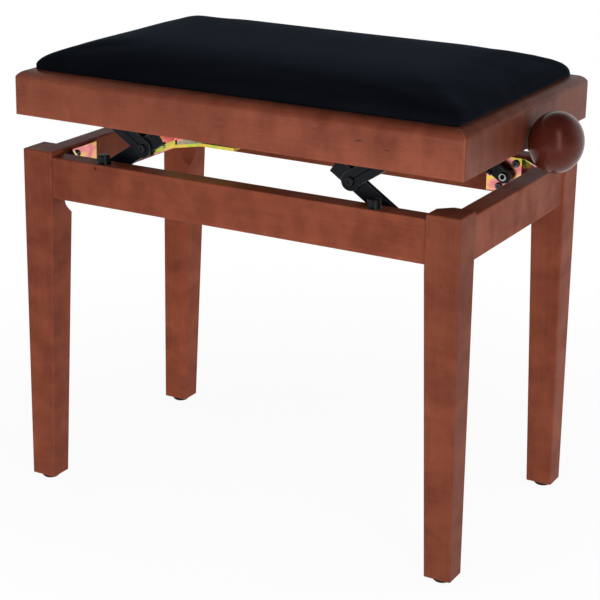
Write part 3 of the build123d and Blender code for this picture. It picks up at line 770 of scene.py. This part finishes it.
spindle_low, spindle_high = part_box("spindle")
axis_y, axis_z = (spindle_low.y + spindle_high.y) / 2, (spindle_low.z + spindle_high.z) / 2
spindle_start = Vector((spindle_low.x, axis_y, axis_z))
middle = (bench_x - spindle_low.x) / MM
length = (spindle_high.x - spindle_low.x) / MM
spindle_rings = [(0, SPINDLE_END)] + plain(END_CHAMFER, middle - THREAD_FAR - 1)
spindle_rings += threaded(middle - THREAD_FAR, middle - THREAD_NEAR, 1)
spindle_rings += plain(middle - THREAD_NEAR + 1, middle + THREAD_NEAR - 1)
spindle_rings += threaded(middle + THREAD_NEAR, middle + THREAD_FAR, -1)
spindle_rings += plain(middle + THREAD_FAR + 1, length - END_CHAMFER) + [(length, SPINDLE_END)]
spindle = bmesh.new()
turned(spindle, spindle_start, Vector((1, 0, 0)), spindle_rings)
finish_turned(spindle, "threaded_spindle", "spindle", "spindle", [bright_steel])

# %% [markdown]
# ## The pad
# Velour is cut pile: almost black when looked into, with a faint blue-grey bloom where the pile leans
# away. Sheen gives that bloom at the edges, a slow noise the marks of the brush, and a very fine noise the
# pile.

# %% Velour
def velour():
    material, tree, shader = start_material("black_velour")
    place = object_place(tree)
    brushed = stretched_noise(tree, place, (6, 34, 30), 3.0, 0.6, 0.8)
    pile = noise(tree, place, 2200.0, 2.0, 0.7)
    tone = maths(tree, "MULTIPLY", spread(tree, brushed, 0.3, 0.7), 0.7)
    tone = maths(tree, "ADD", tone, maths(tree, "MULTIPLY", pile, 0.3))
    tree.links.new(mix_colour(tree, tone, screen(7, 8, 12), screen(20, 23, 29)), shader.inputs["Base Color"])
    shader.inputs["Roughness"].default_value = 0.95
    shader.inputs["Specular IOR Level"].default_value = 0.02
    shader.inputs["Sheen Weight"].default_value = 0.19
    shader.inputs["Sheen Roughness"].default_value = 0.36
    shader.inputs["Sheen Tint"].default_value = screen(146, 168, 196)
    bump(tree, shader, pile, 0.0003, 0.7)
    return material


pad_velour = velour()
print("velour ready")

# %% [markdown]
# The pad is foam under cloth that is pulled down at its edge. It could be sculpted by hand, but cloth that is
# blown up finds the same soft crown by itself. First the plain pad is copied, made a little smaller to leave
# room, and remeshed into even squares, because cloth creases where its squares differ in size.

# %% Even squares for the pad
VOXEL = 4 * MM
SHRINK_ACROSS, SHRINK_UP = 0.985, 0.92
pad_low, pad_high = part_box("cushion")
pad_middle = (pad_low + pad_high) / 2


def copy_of(node, name):
    piece = bpy.data.objects.new(name, nodes[node].data.copy())
    bpy.context.scene.collection.objects.link(piece)
    bpy.context.view_layer.objects.active = piece
    return piece


def apply_modifiers(piece):
    graph = bpy.context.evaluated_depsgraph_get()
    mesh = bpy.data.meshes.new_from_object(piece.evaluated_get(graph))
    piece.modifiers.clear()
    piece.data = mesh


def shrink(piece, share_across, share_up):
    for vertex in piece.data.vertices:
        vertex.co.x = pad_middle.x + (vertex.co.x - pad_middle.x) * share_across
        vertex.co.y = pad_middle.y + (vertex.co.y - pad_middle.y) * share_across
        vertex.co.z = pad_low.z + (vertex.co.z - pad_low.z) * share_up


def even_squares(piece):
    weld = piece.modifiers.new("weld", "WELD")
    weld.merge_threshold = 0.01 * MM
    squares = piece.modifiers.new("squares", "REMESH")
    squares.mode = "VOXEL"
    squares.voxel_size = VOXEL
    apply_modifiers(piece)


pad = copy_of("cushion", "velour_pad")
shrink(pad, SHRINK_ACROSS, SHRINK_UP)
even_squares(pad)
print("pad", len(pad.data.vertices), "points before it swells")

# %% [markdown]
# Cloth with pressure inside swells the pad as foam does, while its lower edge is held. Left alone it would
# swell too far and pucker, so each point's movement is capped and the surface smoothed, less and less toward
# the held edge. At the end the pad is brought back to its own size.

# %% Swell the pad
SWELL_CAP = 3 * MM
SWELL_FRAMES = 20
EDGE_KEPT = 12 * MM
PRESSURE, STIFFNESS, BENDING = 2.0, 40, 12.0
CALM_PASSES = 45
held_below = pad_low.z + 2 * MM


def swell(piece):
    """Blow the pad up, with its lower edge held."""
    held = piece.vertex_groups.new(name="held")
    held.add([vertex.index for vertex in piece.data.vertices if vertex.co.z < held_below], 1.0, "REPLACE")
    cloth = piece.modifiers.new("cloth", "CLOTH").settings
    cloth.vertex_group_mass = "held"
    cloth.use_pressure = True
    cloth.uniform_pressure_force = PRESSURE
    cloth.tension_stiffness = STIFFNESS
    cloth.compression_stiffness = STIFFNESS
    cloth.bending_stiffness = BENDING
    cloth.effector_weights.gravity = 0
    for step in range(1, SWELL_FRAMES + 1):
        bpy.context.scene.frame_set(step)
    apply_modifiers(piece)
    bpy.context.scene.frame_set(1)


def cap_swelling(piece, before):
    """Hold each point near its first place, and tell how far the furthest had gone."""
    furthest = 0
    for vertex, start in zip(piece.data.vertices, before):
        moved = vertex.co - start
        furthest = max(furthest, moved.length)
        if moved.length > SWELL_CAP:
            vertex.co = start + moved.normalized() * SWELL_CAP
    return furthest


def calm(piece):
    """Smooth the pad, and leave its lower edge crisp."""
    free = piece.vertex_groups.new(name="free")
    for vertex in piece.data.vertices:
        above = (vertex.co.z - held_below) / EDGE_KEPT
        free.add([vertex.index], min(max(above, 0), 1), "REPLACE")
    smooth = piece.modifiers.new("calm", "SMOOTH")
    smooth.vertex_group = "free"
    smooth.factor = 0.5
    smooth.iterations = CALM_PASSES
    apply_modifiers(piece)


def fit_to_pad(piece):
    """Bring the swollen pad back to the box of the plain one."""
    points = [vertex.co for vertex in piece.data.vertices]
    low, high = box_of(points)
    for point in points:
        for axis in range(3):
            share = (point[axis] - low[axis]) / (high[axis] - low[axis])
            point[axis] = pad_low[axis] + share * (pad_high[axis] - pad_low[axis])


before = [vertex.co.copy() for vertex in pad.data.vertices]
swell(pad)
furthest = cap_swelling(pad, before)
calm(pad)
print("pad swelled by up to", round(furthest / MM, 1), "mm before the cap")
fit_to_pad(pad)
finer = pad.modifiers.new("finer", "SUBSURF")
finer.levels = finer.render_levels = 1
pad.data.materials.clear()
pad.data.materials.append(pad_velour)
pad.data.shade_smooth()
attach(pad, "seat")
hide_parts("cushion")
print("pad", len(pad.data.vertices), "points")

# %% [markdown]
# ## The studio
# The bench stands in a white sweep. The floor fades into the background a little way off, so no horizon
# shows, and keeps a soft shadow near the feet. The backdrop stands behind the bench, and the side that the
# camera stands on is a dim room with a dark ceiling. Polished faces that look back show white, those that
# look forward or up stay deep, and the eye sees white all round.

# %% Floor and world
FLOOR_WHITE = (0.92, 0.92, 0.92, 1)
HORIZON_LIGHT, OVERHEAD_LIGHT = 0.36, 0.06
BACKDROP_TURN = math.radians(29)
BACKDROP_SIDE = Vector((-math.sin(BACKDROP_TURN), math.cos(BACKDROP_TURN), 0))


def seen_directly(tree):
    """1 for what is seen straight, mirrored or through glass, and 0 for light that falls on a surface."""
    rays = add(tree, "ShaderNodeLightPath")
    seen = maths(tree, "MAXIMUM", rays.outputs["Is Camera Ray"], rays.outputs["Is Glossy Ray"])
    return maths(tree, "MAXIMUM", seen, rays.outputs["Is Transmission Ray"])


def fading_floor():
    material, tree, shader = start_material("studio_floor")
    shader.inputs["Base Color"].default_value = FLOOR_WHITE
    shader.inputs["Roughness"].default_value = 0.8
    shader.inputs["Specular IOR Level"].default_value = 0.0
    place = add(tree, "ShaderNodeNewGeometry").outputs["Position"]
    fade = spread(tree, vector_maths(tree, "LENGTH", place), 0.3, 0.9, 0.94, 1.0)
    white = add(tree, "ShaderNodeEmission")
    mixed = add(tree, "ShaderNodeMixShader")
    tree.links.new(maths(tree, "MULTIPLY", fade, seen_directly(tree)), mixed.inputs["Fac"])
    tree.links.new(shader.outputs[0], mixed.inputs[1])
    tree.links.new(white.outputs[0], mixed.inputs[2])
    tree.links.new(mixed.outputs[0], tree.nodes["Material Output"].inputs["Surface"])
    return material


def studio_world(horizon, overhead):
    world = bpy.data.worlds.new("studio_world")
    world.use_nodes = True
    tree = world.node_tree
    background = tree.nodes["Background"]
    background.inputs["Color"].default_value = (1, 1, 1, 1)
    toward = add(tree, "ShaderNodeTexCoord").outputs["Generated"]
    direction = add(tree, "ShaderNodeSeparateXYZ")
    tree.links.new(toward, direction.inputs[0])
    room = spread(tree, direction.outputs["Z"], 0.0, 0.5, horizon, overhead)
    behind = spread(tree, vector_maths(tree, "DOT_PRODUCT", toward, BACKDROP_SIDE), -0.4, 0.1, overhead, 1.0)
    below = spread(tree, direction.outputs["Z"], 0.4, 0.8, 1.0, overhead)
    rays = add(tree, "ShaderNodeLightPath").outputs
    mirrored = maths(tree, "MULTIPLY", maths(tree, "MULTIPLY", behind, below), rays["Is Glossy Ray"])
    seen = maths(tree, "MAXIMUM", rays["Is Camera Ray"], rays["Is Transmission Ray"])
    strength = maths(tree, "MAXIMUM", room, maths(tree, "MAXIMUM", mirrored, seen))
    tree.links.new(strength, background.inputs["Strength"])
    bpy.context.scene.world = world


bpy.ops.mesh.primitive_plane_add(size=12, location=(0, 0, 0))
floor = bpy.context.object
floor.name = "studio_floor"
floor.data.materials.append(fading_floor())
studio_world(HORIZON_LIGHT, OVERHEAD_LIGHT)
print("floor and world ready")

# %% [markdown]
# The light comes from low in front and from the floor, which two boxes overhead brighten without reaching
# far onto the bench. Weaker boxes fill the other three sides, and two tall narrow ones draw the upright
# highlights on the knob. None of them is seen by the camera itself.

# %% Lamps
def soft_box(name, place, aim, width, tall, power, mirrored=False):
    """A flat lamp at a place, turned to look at another, which polished faces may show."""
    light = bpy.data.lights.new(name, "AREA")
    light.shape = "RECTANGLE"
    light.size, light.size_y = width, tall
    light.energy = power
    lamp = bpy.data.objects.new(name, light)
    lamp.location = place
    lamp.rotation_euler = (Vector(aim) - lamp.location).to_track_quat("-Z", "Y").to_euler()
    lamp.visible_camera = False
    lamp.visible_glossy = mirrored
    bpy.context.scene.collection.objects.link(lamp)


def around(azimuth, distance, height):
    """A place round the bench; azimuth 0 is in front of it and 90 to its right."""
    turn = math.radians(azimuth)
    return (math.sin(turn) * distance, -math.cos(turn) * distance, height)


BENCH_HEART = (0, 0, 0.3)
KNOB_HEART = tuple((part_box("knob")[0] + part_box("knob")[1]) / 2)
soft_box("front_box", around(14, 1.5, 0.22), BENCH_HEART, 1.1, 0.45, power=5.2)
soft_box("front_floor_box", (0.0, -0.75, 0.5), (0.0, -0.75, 0), 0.9, 0.4, power=3.2)
soft_box("right_floor_box", (0.85, 0.15, 0.45), (0.85, 0.15, 0), 0.4, 0.9, power=3.0)
soft_box("right_rear_box", around(138, 1.4, 0.3), BENCH_HEART, 0.9, 0.7, power=1.2)
soft_box("rear_box", around(190, 1.5, 0.25), BENCH_HEART, 1.1, 0.45, power=3.5)
soft_box("left_box", around(-100, 1.5, 0.25), BENCH_HEART, 0.9, 0.45, power=2.0)
soft_box("knob_strip_right", around(51.6, 1.5, 0.9), KNOB_HEART, 0.4, 1.8, power=9.0, mirrored=True)
soft_box("knob_strip_front", around(-26, 1.6, 0.7), KNOB_HEART, 0.5, 1.4, power=1.6, mirrored=True)
print("lamps placed")

# %% [markdown]
# The camera stands well to the right of the front and above the seat, and looks down a little through a
# long lens, which keeps the uprights nearly parallel. It is rolled by about a degree, and a small shift sets
# the bench in the frame.

# %% Camera
CAMERA_AZIMUTH = 28.99
CAMERA_ELEVATION = 16.91
CAMERA_ROLL = 0.94
CAMERA_DISTANCE = 2.04456
CAMERA_TARGET = Vector((-0.02993, 0.0, 0.29937))
CAMERA_LENS, CAMERA_SENSOR = 106.43, 36
CAMERA_SHIFT = -0.1


def photo_camera():
    turn, rise, roll = (math.radians(angle) for angle in (CAMERA_AZIMUTH, CAMERA_ELEVATION, CAMERA_ROLL))
    back = Vector((math.sin(turn) * math.cos(rise), -math.cos(turn) * math.cos(rise), math.sin(rise)))
    level = Vector((math.cos(turn), math.sin(turn), 0))
    upright = back.cross(level)
    right = level * math.cos(roll) + upright * math.sin(roll)
    up = upright * math.cos(roll) - level * math.sin(roll)
    data = bpy.data.cameras.new("photo_camera")
    data.sensor_width = CAMERA_SENSOR
    data.lens = CAMERA_LENS
    data.shift_y = CAMERA_SHIFT
    camera = bpy.data.objects.new("photo_camera", data)
    facing = Matrix((right, up, back)).transposed().to_4x4()
    camera.matrix_world = Matrix.Translation(CAMERA_TARGET + back * CAMERA_DISTANCE) @ facing
    bpy.context.scene.collection.objects.link(camera)
    bpy.context.scene.camera = camera


photo_camera()
bpy.context.scene.view_settings.view_transform = "Standard"
print("camera placed")
